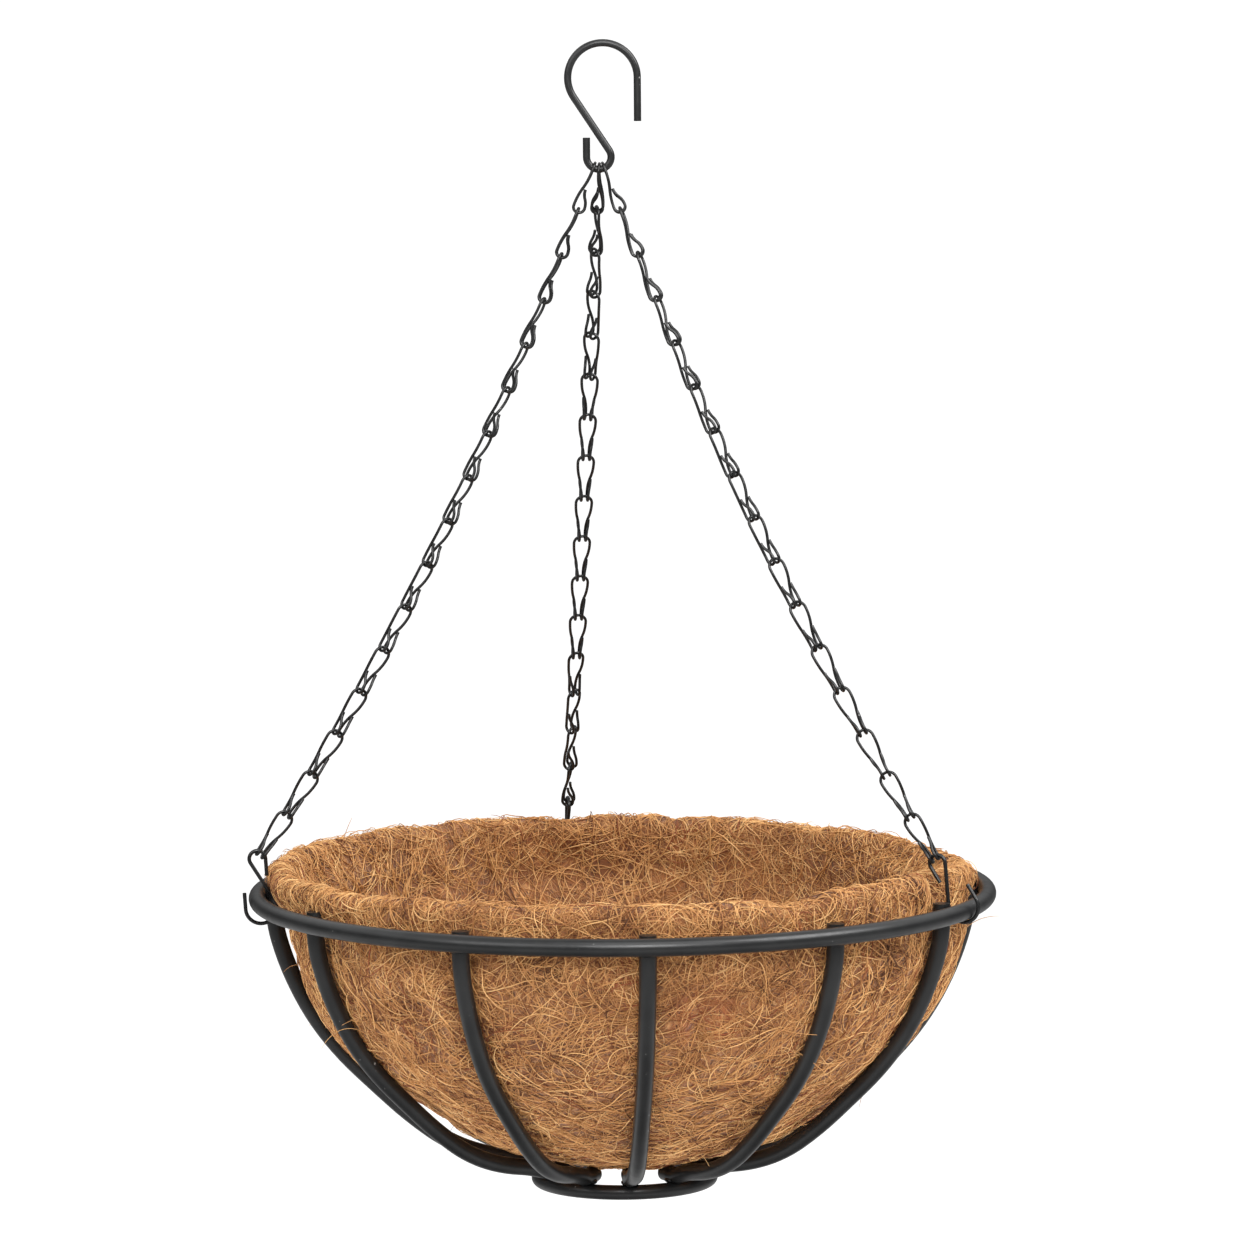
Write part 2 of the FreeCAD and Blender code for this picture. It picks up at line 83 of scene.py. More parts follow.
def mesh_from_arrays(name, verts, quads, triangles, quad_slots=None, triangle_slots=None):
    """A smooth-shaded mesh object from numpy arrays of vertices in metres, quads and triangles."""
    mesh = bpy.data.meshes.new(name)
    mesh.vertices.add(len(verts))
    mesh.vertices.foreach_set("co", verts.astype(np.float32).ravel())
    loops = np.concatenate([quads.ravel(), triangles.ravel()])
    mesh.loops.add(len(loops))
    mesh.loops.foreach_set("vertex_index", loops.astype(np.int32))
    quad_starts = np.arange(len(quads)) * 4
    triangle_starts = len(quads) * 4 + np.arange(len(triangles)) * 3
    mesh.polygons.add(len(quads) + len(triangles))
    mesh.polygons.foreach_set("loop_start", np.concatenate([quad_starts, triangle_starts]).astype(np.int32))
    if quad_slots is not None:
        slots = np.concatenate([quad_slots, triangle_slots]).astype(np.int32)
        mesh.polygons.foreach_set("material_index", slots)
    mesh.polygons.foreach_set("use_smooth", np.ones(len(quads) + len(triangles), bool))
    mesh.update(calc_edges=True)
    mesh.validate()
    piece = bpy.data.objects.new(name, mesh)
    bpy.context.scene.collection.objects.link(piece)
    return piece


# ---------------------------------------------------------------- material graphs


class Graph:
    """A node material under construction, with one Principled shader and shorthand for the nodes it uses."""

    def __init__(self, name):
        self.material = bpy.data.materials.new(name)
        self.material.use_nodes = True
        self.tree = self.material.node_tree
        self.tree.nodes.clear()
        output = self.tree.nodes.new("ShaderNodeOutputMaterial")
        self.shader = self.tree.nodes.new("ShaderNodeBsdfPrincipled")
        self.tree.links.new(self.shader.outputs["BSDF"], output.inputs["Surface"])
        self.place = self.tree.nodes.new("ShaderNodeTexCoord").outputs["Object"]

    def feed(self, socket, value):
        """Links a socket to another, or sets it to a plain value."""
        if isinstance(value, bpy.types.NodeSocket):
            self.tree.links.new(value, socket)
        else:
            socket.default_value = value

    def set(self, name, value):
        """Feeds one of the Principled shader's inputs."""
        self.feed(self.shader.inputs[name], value)

    def noise(self, scale, detail=2.0, distortion=0.0, place=None):
        """Noise texture value, with scale in features per metre."""
        node = self.tree.nodes.new("ShaderNodeTexNoise")
        node.inputs["Scale"].default_value = scale
        node.inputs["Detail"].default_value = detail
        node.inputs["Distortion"].default_value = distortion
        self.feed(node.inputs["Vector"], place or self.place)
        return node.outputs["Fac"]

    def moved(self, offset, stretch=(1.0, 1.0, 1.0)):
        """Object coordinates shifted and stretched."""
        node = self.tree.nodes.new("ShaderNodeMapping")
        node.inputs["Location"].default_value = offset
        node.inputs["Scale"].default_value = stretch
        self.feed(node.inputs["Vector"], self.place)
        return node.outputs["Vector"]

    def math(self, operation, first, second=0.0):
        """One arithmetic step."""
        node = self.tree.nodes.new("ShaderNodeMath")
        node.operation = operation
        self.feed(node.inputs[0], first)
        self.feed(node.inputs[1], second)
        return node.outputs[0]

    def distance(self, point):
        """How far each place is from a point, in metres."""
        node = self.tree.nodes.new("ShaderNodeVectorMath")
        node.operation = "DISTANCE"
        self.feed(node.inputs[0], self.place)
        node.inputs[1].default_value = point
        return node.outputs["Value"]

    def ranged(self, value, low, high, start=0.0, end=1.0):
        """value mapped from low..high to start..end and held at the ends."""
        node = self.tree.nodes.new("ShaderNodeMapRange")
        node.interpolation_type = "SMOOTHSTEP"
        for name, number in zip(("From Min", "From Max", "To Min", "To Max"), (low, high, start, end)):
            node.inputs[name].default_value = number
        self.feed(node.inputs["Value"], value)
        return node.outputs["Result"]

    def mix(self, share, first, second):
        """A colour between first and second."""
        node = self.tree.nodes.new("ShaderNodeMix")
        node.data_type = "RGBA"
        self.feed(node.inputs["Factor"], share)
        self.feed(node.inputs[6], first)
        self.feed(node.inputs[7], second)
        return node.outputs[2]

    def bump(self, height, strength, distance):
        """Sends a height to the shader's normal, with distance in metres."""
        node = self.tree.nodes.new("ShaderNodeBump")
        node.inputs["Strength"].default_value = strength
        node.inputs["Distance"].default_value = distance
        self.feed(node.inputs["Height"], height)
        self.set("Normal", node.outputs["Normal"])


def grey(value, warmth=0.0):
    """A near-neutral colour, slightly warm or cool."""
    return (value * (1.0 + warmth), value, value * (1.0 - warmth), 1.0)


def powder_coat(name, dark, light, rough_low, rough_high):
    """Satin black powder coat: orange-peel grain, faint cloudiness, and small pale specks of dust."""
    graph = Graph(name)
    cloud = graph.noise(35.0, 3.0)
    coat = graph.mix(graph.ranged(cloud, 0.35, 0.65), grey(dark, -0.03), grey(light, -0.02))
    speck = graph.ranged(graph.noise(420.0, 1.0), 0.76, 0.80)
    cluster = graph.ranged(graph.noise(28.0, 1.0, place=graph.moved((3.0, 1.0, 2.0))), 0.50, 0.62)
    dust = graph.math("MULTIPLY", speck, cluster)
    graph.set("Base Color", graph.mix(graph.math("MULTIPLY", dust, 0.55), coat, grey(0.42, 0.02)))
    roughness = graph.ranged(graph.noise(160.0, 3.0), 0.3, 0.7, rough_low, rough_high)
    graph.set("Roughness", graph.math("ADD", roughness, graph.math("MULTIPLY", dust, 0.15)))
    graph.set("Specular IOR Level", 0.55)
    graph.bump(graph.noise(420.0, 2.0), 0.07, 0.20 * MM)
    return graph.material


# Linear colours of coir, from the painted shade of the gaps to the sun-bleached strands. The gap colour also tints the
# darkest strands, and the dark husk darkens the felt's ground as painted shade under the strands.
GAP_SHADE_AND_DARK_HUSK = (0.095, 0.032, 0.009, 1.0)
DARK_HUSK_AND_SHADE = (0.185, 0.064, 0.018, 1.0)
HUSK_BROWN = (0.315, 0.121, 0.035, 1.0)
HUSK_RED = (0.360, 0.098, 0.032, 1.0)
HUSK_TAN = (0.530, 0.244, 0.080, 1.0)
HUSK_GOLD = (0.695, 0.362, 0.128, 1.0)
HUSK_STRAW = (0.860, 0.535, 0.232, 1.0)

# A reddish patch of husk beside the front rib, in millimetres from the rim's centre, and its radius.
RED_PATCH = (42.0, -170.0, -42.0)
RED_PATCH_RADIUS = 26.0


def strand_lines(graph, offset, scale, lines, width):
    """Thin curved lines, like strands lying over each other: level lines of a soft noise."""
    level = graph.noise(scale, 1.5, 0.4, graph.moved(offset))
    wave = graph.math("PINGPONG", graph.math("MULTIPLY", level, lines), 0.5)
    return graph.ranged(wave, 0.0, width, 1.0, 0.0)


def red_patch(graph):
    """1 inside the reddish patch and 0 away from it."""
    middle = [(offset + centre) * MM for offset, centre in zip(RED_PATCH, RIM_CENTRE)]
    away = graph.distance(middle)
    return graph.ranged(away, 0.4 * RED_PATCH_RADIUS * MM, RED_PATCH_RADIUS * MM, 0.50, 0.0)


def coir_felt():
    """Matted coir husk: several layers of thin strands over a pitted base that is kept dark as painted shade under the
    strands, darkest in the pits.
    """
    graph = Graph("coir_felt")
    patch = graph.noise(22.0, 3.0)
    pits_and_painted_shade = graph.ranged(graph.noise(330.0, 3.0, 1.2), 0.30, 0.50)
    # Painted shade: the ground is darkened as shade beneath the loose strands, and the hollows of the pits take the gap
    # colour as painted shade.
    ground = graph.mix(graph.ranged(patch, 0.35, 0.65), DARK_HUSK_AND_SHADE, HUSK_BROWN)
    ground = graph.mix(red_patch(graph), ground, HUSK_RED)
    colour = graph.mix(pits_and_painted_shade, GAP_SHADE_AND_DARK_HUSK, ground)
    relief = graph.math("MULTIPLY", pits_and_painted_shade, 0.8)
    layers = (
        ((0.0, 0.0, 0.0), 55.0, 16.0, 0.20, HUSK_BROWN),
        ((4.1, 2.3, 7.7), 48.0, 15.0, 0.18, HUSK_TAN),
        ((9.4, 5.2, 1.3), 62.0, 18.0, 0.15, HUSK_TAN),
        ((2.2, 8.6, 4.9), 40.0, 13.0, 0.11, HUSK_GOLD),
    )
    for offset, scale, lines, width, tint in layers:
        line = strand_lines(graph, offset, scale, lines, width)
        broken = graph.ranged(graph.noise(75.0, 1.0, place=graph.moved(offset, (1.3, 1.3, 1.3))), 0.42, 0.58)
        shown = graph.math("MULTIPLY", line, broken)
        colour = graph.mix(graph.math("MULTIPLY", shown, 0.85), colour, tint)
        relief = graph.math("ADD", relief, graph.math("MULTIPLY", shown, 0.7))
    graph.set("Base Color", colour)
    graph.set("Roughness", graph.ranged(relief, 0.0, 2.5, 0.95, 0.78))
    graph.set("Sheen Weight", 0.15)
    graph.set("Sheen Roughness", 0.6)
    graph.bump(relief, 0.75, 0.9 * MM)
    return graph.material


def coir_strand(name, dark, light):
    """One tone of loose strand, paler and darker along its length, with a dry, slightly waxy skin."""
    graph = Graph(name)
    drift = graph.ranged(graph.noise(45.0, 2.0), 0.3, 0.7)
    dark = graph.mix(red_patch(graph), dark, HUSK_RED)
    band = graph.ranged(graph.noise(420.0, 2.0), 0.35, 0.75)
    colour = graph.mix(drift, dark, light)
    graph.set("Base Color", graph.mix(graph.math("MULTIPLY", band, 0.35), colour, dark))
    graph.set("Roughness", graph.ranged(band, 0.0, 1.0, 0.50, 0.68))
    graph.bump(graph.noise(1500.0, 2.0), 0.3, 0.05 * MM)
    return graph.material


# ---------------------------------------------------------------- what the CAD frame says

rim_low, rim_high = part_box("rim_ring")
RIM_CENTRE = np.array((rim_low + rim_high) / 2) / MM
RIM_TUBE = (rim_high.z - rim_low.z) / 2 / MM
RIM_RADIUS = (rim_high.x - rim_low.x) / 2 / MM - RIM_TUBE
base_low, base_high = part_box("base_ring")
BASE_TUBE = (base_high.z - base_low.z) / 2 / MM
BASE_RADIUS = (base_high.x - base_low.x) / 2 / MM - BASE_TUBE
SIDES = ("front", "right", "back", "left")
CHAINS = ("left", "right", "back")


def rim_points(node):
    """A CAD node's vertices in millimetres from the centre of the rim."""
    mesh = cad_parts[node].data
    flat = np.empty(len(mesh.vertices) * 3, np.float32)
    mesh.vertices.foreach_get("co", flat)
    return flat.reshape(-1, 3) / MM - RIM_CENTRE


def bearing(points):
    """Angle round the rim, from +X towards +Y."""
    return np.arctan2(points[..., 1], points[..., 0])


def rib_bearings():
    """The angle of each rib in rising order, from the tops of the CAD ribs."""
    found = []
    for side in SIDES:
        points = rim_points("ribs_" + side)
        tops = np.exp(1j * bearing(points[points[:, 2] > 0.0]))
        middle = np.angle(tops.mean())
        offsets = np.sort(np.angle(tops * np.exp(-1j * middle)))
        gaps = np.flatnonzero(np.diff(offsets) > 0.1) + 1
        found += [middle + rod.mean() for rod in np.split(offsets, gaps)]
    return np.sort(np.angle(np.exp(1j * np.array(found))))


def hook_bearings():
    """The angle of each rim hook's wire, left, right and back."""
    wires = [np.exp(1j * bearing(rim_points("rim_hook_" + side))) for side in CHAINS]
    return [float(np.angle(wire.mean())) for wire in wires]


def liner_radii(angles):
    """Outer and inner distance of the CAD liner from the rim's centre, at angles below the rim plane."""
    points = rim_points("coir_liner")
    reach = np.hypot(points[:, 0], points[:, 1])
    below = np.arctan2(-points[:, 2], reach)
    distance = np.hypot(reach, points[:, 2])
    outer, inner = [], []
    for angle in angles:
        near = distance[np.abs(below - angle) < math.radians(2.2)]
        outer.append(near.max())
        inner.append(near.min())
    return np.array(outer), np.array(inner)


# ---------------------------------------------------------------- the felted shell

ACROSS = 520
ALONG = 188
LIP_RISE = 19.0

# The torn lip round the rim: bearing in degrees, height over the rim's middle, outward flare, in mm.
LIP = (
    (-180.0, 17.0, 9.0),
    (-150.0, 17.5, 4.0),
    (-120.0, 18.0, 0.5),
    (-90.0, 19.0, -0.5),
    (-70.0, 19.0, 0.5),
    (-62.0, 15.5, -2.5),
    (-54.0, 20.5, 0.0),
    (-38.0, 20.5, -1.0),
    (-12.0, 18.0, 1.0),
    (8.0, 12.5, 9.0),
    (24.0, 13.0, 9.5),
    (42.0, 17.0, 4.0),
    (70.0, 18.5, -1.0),
    (110.0, 19.0, -1.5),
    (150.0, 19.0, 4.0),
    (180.0, 17.0, 9.0),
)

# How far the lip stands in from the wire of each rim hook: left, right and back.
HOOK_ROOM = (1.5, 9.0, 9.0)


def resample(line, count):
    """A polyline of (r, z) resampled to points at equal steps of length."""
    step = np.hypot(*np.diff(line, axis=0).T)
    travelled = np.concatenate([[0.0], np.cumsum(step)])
    wanted = np.linspace(0.0, travelled[-1], count)
    return np.stack([np.interp(wanted, travelled, line[:, axis]) for axis in (0, 1)], axis=1)


def smoothed(line, rounds):
    """A polyline with its inner points eased towards their neighbours."""
    for _ in range(rounds):
        line[1:-1] = 0.5 * line[1:-1] + 0.25 * (line[:-2] + line[2:])
    return line


def shell_section():
    """The liner's section (r, z) from its outer bottom centre, over the lip, to its inner bottom centre."""
    angles = np.radians(np.linspace(88.0, 1.0, 44))
    outer, inner = liner_radii(angles)
    outside = np.stack([outer * np.cos(angles), -outer * np.sin(angles)], axis=1)
    inside = np.stack([inner * np.cos(angles), -inner * np.sin(angles)], axis=1)
    lip_outside = outside[-1, 0] + 0.5
    lip_inside = inside[-1, 0]
    middle = (lip_outside + lip_inside) / 2
    half = (lip_outside - lip_inside) / 2
    turn = np.radians(np.linspace(0.0, 180.0, 13))
    crown = np.stack([middle + half * np.cos(turn), LIP_RISE - half + half * np.sin(turn)], axis=1)
    start = [[0.0, outside[0, 1]]]
    end = [[0.0, inside[0, 1]]]
    line = np.concatenate([start, outside, crown, inside[::-1], end])
    return resample(smoothed(resample(line, 400), 12), ALONG)


def near_bearing(angles, centre, width):
    """A soft bump, 1 at a bearing and gone a few widths of arc away, with width in millimetres at the rim."""
    gap = np.angle(np.exp(1j * (angles - centre))) * RIM_RADIUS
    return np.exp(-((gap / width) ** 2))


# How far the felt stays behind the ribs' inner side.
RIB_ROOM = 1.6
# How far the felt has settled away from the ribs: under the rim and near the bottom, and more so on the left.
SETTLED = 1.2
SETTLED_LOW = 3.2
SETTLED_LEFT = 3.2


def settled(angles, heights, reach):
    """How far the felt has sunk inwards, away from the ribs."""
    low = (1.0 - smoothstep(-118.0, -82.0, heights)) * smoothstep(10.0, 70.0, reach)
    high = smoothstep(-60.0, -20.0, heights) * (1.0 - smoothstep(-8.0, 6.0, heights))
    left = near_bearing(angles, math.pi, 120.0)
    return SETTLED + SETTLED_LOW * low + SETTLED_LEFT * left * np.maximum(low, high)


def pillow(angles, heights):
    """How far the felt swells outwards between the ribs and is held in behind each of them."""
    ribs = rib_bearings()
    stops = np.append(ribs, ribs[0] + 2.0 * math.pi)
    around = ribs[0] + (angles - ribs[0]) % (2.0 * math.pi)
    bay = np.clip(np.searchsorted(stops, around, side="right") - 1, 0, len(ribs) - 1)
    share = (around - stops[bay]) / (stops[bay + 1] - stops[bay])
    fullness = np.random.default_rng(SEED).uniform(1.0, 3.6, len(ribs))[bay]
    wave = (fullness + RIB_ROOM) * np.sin(np.pi * share) ** 0.8 - RIB_ROOM
    return wave * smoothstep(-146.0, -95.0, heights) * (1.0 - 0.7 * smoothstep(-25.0, 5.0, heights))


def lip_shape(angles):
    """Height over the rim and outward flare of the lip at each bearing."""
    degrees = np.degrees(np.angle(np.exp(1j * angles)))
    place, height, flare = np.array(LIP).T
    return np.interp(degrees, place, height), np.interp(degrees, place, flare)


# Creases pressed into the felt: bearing in degrees, depth, half width, lowest and highest point, all in mm.
CREASES = (
    (-76.0, 6.0, 7.0, -64.0, -26.0),
    (-145.0, 3.5, 2.5, -112.0, -10.0),
    (-118.0, 3.0, 4.0, -100.0, -20.0),
    (-38.0, 3.0, 4.0, -70.0, 0.0),
    (72.0, 3.5, 3.5, -50.0, 30.0),
    (97.0, 3.0, 3.0, -60.0, -20.0),
    (128.0, 4.0, 4.0, -60.0, 10.0),
    (160.0, 3.0, 4.0, -70.0, 10.0),
    (25.0, 3.5, 4.0, -60.0, 15.0),
)


def creases(angles, heights):
    """Depth of the pressed-in folds at each point."""
    depth = np.zeros(np.broadcast(angles, heights).shape)
    for place, deep, width, low, high in CREASES:
        drift = 0.0011 * (heights - low)
        reach = smoothstep(low - 15.0, low + 15.0, heights) * (1.0 - smoothstep(high - 15.0, high + 15.0, heights))
        depth += deep * reach * near_bearing(angles + drift * 0.2, math.radians(place), width)
    return depth


def lip_wave(angles):
    """Rise and fall of the torn top edge."""
    ring = np.stack([np.cos(angles), np.sin(angles), np.zeros_like(angles)], axis=-1) * RIM_RADIUS
    return 1.1 * value_noise(ring, 60.0, SEED + 1) + 0.9 * value_noise(ring, 20.0, SEED + 2)


def shell_grid():
    """Points of the felted shell in mm from the rim's centre, one row per step along the section."""
    section = shell_section()
    angles = np.linspace(0.0, 2.0 * math.pi, ACROSS, endpoint=False)[None, :]
    reach = section[:, 0][:, None]
    height = section[:, 1][:, None] + 0.0 * angles
    slope = np.gradient(section, axis=0)
    normal_r, normal_z = unit(np.stack([slope[:, 1], -slope[:, 0]], axis=1)).T
    outward = np.stack(
        [normal_r[:, None] * np.cos(angles), normal_r[:, None] * np.sin(angles), normal_z[:, None] + 0.0 * angles], axis=-1
    )
    place = np.stack([reach * np.cos(angles), reach * np.sin(angles), height], axis=-1)
    radial = unit(place * np.array([1.0, 1.0, 0.0]) + 1e-9)
    lip = smoothstep(-8.0, LIP_RISE - 4.0, height)
    outside = smoothstep(-0.2, 0.6, normal_r[:, None] * np.sign(reach + 1e-6) - 0.3 * normal_z[:, None])

    below_lip = 1.0 - smoothstep(-6.0, 8.0, height)
    body = pillow(angles, height) * (0.35 + 0.65 * outside) - creases(angles, height)
    body += 1.6 * value_noise(place, 48.0, SEED + 3)
    sunk = settled(angles, height, reach) * (1.0 - 2.0 * outside) * below_lip
    at_hooks = [near_bearing(angles, centre, 13.0) for centre in hook_bearings()]
    hooks = sum(at_hooks)
    lip_height, lip_flare = lip_shape(angles)
    lean = lip * (lip_flare + 1.5 * value_noise(place * np.array([1.0, 1.0, 0.0]), 95.0, SEED + 4))
    lean -= lip * sum(room * near for room, near in zip(HOOK_ROOM, at_hooks))
    body = body * smoothstep(0.0, 60.0, reach)
    moved = place + radial * (body + lean)[..., None]
    moved[..., 2] += lip * (lip_wave(angles) * (1.0 - 0.5 * hooks) + lip_height - LIP_RISE)
    rough = 1.0 * value_noise(place, 15.0, SEED + 5) + 0.7 * value_noise(place, 6.5, SEED + 6)
    rough *= smoothstep(0.0, 25.0, reach) * (1.0 - 0.6 * hooks * lip)
    return moved + outward * (rough + sunk)[..., None]


def grid_normals(grid):
    """Unit normals of the shell grid, pointing out of the felt."""
    around = np.roll(grid, -1, axis=1) - np.roll(grid, 1, axis=1)
    along = np.gradient(grid, axis=0)
    return unit(np.cross(around, along))


def make_shell(grid, material):
    """The shell as a closed mesh: its grid of quads, with a fan at each bottom centre."""
    rows, columns = grid.shape[:2]
    body = grid[1:-1]
    count = rows - 2
    poles = np.array([grid[0].mean(axis=0), grid[-1].mean(axis=0)])
    verts = np.concatenate([body.reshape(-1, 3), poles]) + RIM_CENTRE
    row, column = np.meshgrid(np.arange(count - 1), np.arange(columns), indexing="ij")
    after = (column + 1) % columns
    quads = np.stack(
        [row * columns + column, row * columns + after, (row + 1) * columns + after, (row + 1) * columns + column], axis=-1
    ).reshape(-1, 4)
    turn = np.arange(columns)
    following = (turn + 1) % columns
    last = (count - 1) * columns
    bottom = np.stack([np.full(columns, count * columns), following, turn], axis=1)
    top = np.stack([np.full(columns, count * columns + 1), last + turn, last + following], axis=1)
    shell = mesh_from_arrays("coir_shell", verts * MM, quads, np.concatenate([bottom, top]))
    shell.data.materials.append(material)
    return shell


# ---------------------------------------------------------------- loose strands


def sample(grid, across, along):
    """Values of a grid at fractional columns (wrapping) and rows."""
    rows, columns = grid.shape[:2]
    along = np.clip(along, 0.0, rows - 1.001)
    column = np.floor(across).astype(int)
    row = np.floor(along).astype(int)
    share_u = (across - column)[..., None]
    share_v = (along - row)[..., None]
    left, right = column % columns, (column + 1) % columns
    low = grid[row, left] * (1.0 - share_u) + grid[row, right] * share_u
    high = grid[row + 1, left] * (1.0 - share_u) + grid[row + 1, right] * share_u
    return low * (1.0 - share_v) + high * share_v


def seeds_on(grid, count, first_row, last_row, rng):
    """Random places on the shell between two rows, spread evenly by area."""
    rows = np.arange(first_row, last_row)
    reach = np.hypot(grid[rows, :, 0], grid[rows, :, 1]).mean(axis=1)
    chosen = rng.choice(rows, size=count, p=reach / reach.sum())
    return rng.uniform(0.0, grid.shape[1], count), chosen + rng.uniform(0.0, 1.0, count)


def grow(grid, normals, starts, steps, stride, curl, lift, rng):
    """Centre lines of strands that wander over the shell, (count, steps, 3), and the normals beneath them."""
    across, along = starts
    count = len(across)
    rows, columns = grid.shape[:2]
    row_length = np.linalg.norm(np.diff(grid, axis=0), axis=-1).mean()
    heading = rng.uniform(0.0, 2.0 * math.pi, count)
    bend = rng.normal(0.0, curl, count)
    stride = stride * rng.uniform(0.6, 1.35, count)
    lines, ups = [], []
    base_lift = rng.uniform(0.1, 0.7, count)
    hump = lift * rng.random(count) ** 2
    phase = rng.uniform(0.0, math.pi, count)
    cycles = rng.uniform(0.6, 1.8, count)
    for step in range(steps):
        up = unit(sample(normals, across, along))
        share = step / (steps - 1)
        height = base_lift + hump * np.abs(np.sin(math.pi * cycles * share + phase))
        spot = sample(grid, across, along)
        lines.append(spot + up * height[:, None])
        ups.append(up)
        reach = np.maximum(np.hypot(spot[:, 0], spot[:, 1]), 12.0)
        across = across + np.cos(heading) * stride * columns / (2.0 * math.pi * reach)
        along = np.clip(along + np.sin(heading) * stride / row_length, 1.0, rows - 2.0)
        bend = 0.9 * bend + rng.normal(0.0, 0.35 * curl, count)
        heading = heading + bend * stride
    return np.stack(lines, axis=1), np.stack(ups, axis=1)


def strand_mesh(name, lines, ups, radius, slots, materials):
    """Three-sided tapering tubes along the strands, each closed at both ends."""
    count, steps = lines.shape[:2]
    tangent = unit(np.gradient(lines, axis=1))
    side = unit(np.cross(tangent, ups))
    top = np.cross(side, tangent)
    share = np.linspace(0.0, 1.0, steps)
    taper = 0.35 + 0.65 * np.sin(math.pi * np.clip(share, 0.02, 0.98)) ** 0.5
    thick = radius[:, None, None] * taper[None, :, None]
    rings = []
    for turn in np.radians((90.0, 210.0, 330.0)):
        rings.append(lines + thick * (math.cos(turn) * side + math.sin(turn) * top))
    verts = np.stack(rings, axis=2).reshape(-1, 3)
    strand, step, corner = np.meshgrid(np.arange(count), np.arange(steps - 1), np.arange(3), indexing="ij")
    base = (strand * steps + step) * 3
    following = (corner + 1) % 3
    quads = np.stack([base + corner, base + following, base + 3 + following, base + 3 + corner], axis=-1).reshape(-1, 4)
    first = np.arange(count) * steps * 3
    last = first + (steps - 1) * 3
    caps = np.concatenate([np.stack([first + 2, first + 1, first], axis=1), np.stack([last, last + 1, last + 2], axis=1)])
    quad_slots = np.repeat(slots, (steps - 1) * 3)
    piece = mesh_from_arrays(name, (verts + RIM_CENTRE) * MM, quads, caps, quad_slots, np.tile(slots, 2))
    for material in materials:
        piece.data.materials.append(material)
    return piece


# Least room in mm between a strand and a hook or link, which leaves space for the chains' sway.
WIRE_ROOM = 4.0


def wires_near_lip():
    """A search tree over the rim hooks and the chain links that come down to the lip."""
    nodes = [name % side for side in CHAINS for name in ("rim_hook_%s", "chain_%s_link_16", "chain_%s_link_15")]
    points = np.concatenate([rim_points(node)[::3] for node in nodes])
    tree = KDTree(len(points))
    for index, point in enumerate(points):
        tree.insert(point, index)
    tree.balance()
    return tree


def clear_of_wires(lines, tree, margin):
    """True for strands that stay at least a margin in mm away from the hooks and links."""
    keep = np.ones(len(lines), bool)
    bearings = bearing(lines)
    for centre in hook_bearings():
        gap = np.abs(np.angle(np.exp(1j * (bearings - centre)))) * RIM_RADIUS
        close = (gap < 25.0).any(axis=1) & (lines[..., 2] > -20.0).any(axis=1)
        for strand in np.flatnonzero(close & keep):
            keep[strand] = all(tree.find(point)[2] > margin for point in lines[strand])
    return keep


def make_strands(name, grid, normals, tree, count, rows, steps, stride, curl, lift, weights, materials, seed):
    """One layer of loose strands on the rows of the shell it covers."""
    rng = np.random.default_rng(seed)
    starts = seeds_on(grid, count, rows[0], rows[1], rng)
    lines, ups = grow(grid, normals, starts, steps, stride, curl, lift, rng)
    keep = clear_of_wires(lines, tree, WIRE_ROOM)
    lines, ups = lines[keep], ups[keep]
    radius = rng.uniform(0.18, 0.40, len(lines))
    slots = rng.choice(len(materials), size=len(lines), p=weights)
    return strand_mesh(name, lines, ups, radius, slots, materials)


# Fibres that have come loose: how many, and their length in steps.
STRAYS = 64
STRAY_STEPS = 14


def make_strays(grid, normals, tree, rows, tones, seed):
    """Single fibres that leave the felt, curl and sag under their own weight."""
    rng = np.random.default_rng(seed)
    across, along = seeds_on(grid, STRAYS, rows[0], rows[1], rng)
    spot = sample(grid, across, along)
    up = unit(sample(normals, across, along))
    sideways = unit(np.cross(up, rng.normal(size=up.shape)))
    heading = unit(sideways + up * rng.uniform(0.1, 0.5, (STRAYS, 1)))
    turn_axis = unit(rng.normal(size=up.shape))
    turn = rng.normal(0.0, 0.13, (STRAYS, 1))
    stride = rng.uniform(1.2, 2.6, (STRAYS, 1))
    spot = spot - up * 0.6
    line = [spot]
    for _ in range(STRAY_STEPS - 1):
        heading = unit(heading + np.cross(turn_axis, heading) * turn + np.array([0.0, 0.0, -0.03]))
        spot = spot + heading * stride
        line.append(spot)
    lines = np.stack(line, axis=1)
    keep = clear_of_wires(lines, tree, WIRE_ROOM)
    lines = lines[keep]
    ups = np.repeat(up[keep][:, None, :], STRAY_STEPS, axis=1)
    radius = rng.uniform(0.14, 0.24, len(lines))
    slots = rng.choice(len(tones), size=len(lines), p=(0.2, 0.45, 0.3, 0.05))
    return strand_mesh("coir_strays", lines, ups, radius, slots, tones)


# ---------------------------------------------------------------- welds

# Each weld bead: distance from the rim's axis, height over the rim, and its half sizes out, round and up.
RIM_WELD = (194.4, -4.0, 2.4, 5.6, 2.0)
BASE_WELD = (44.6, -151.4, 4.2, 5.4, 2.2)
BEAD_TURNS = 20
BEAD_RINGS = 10


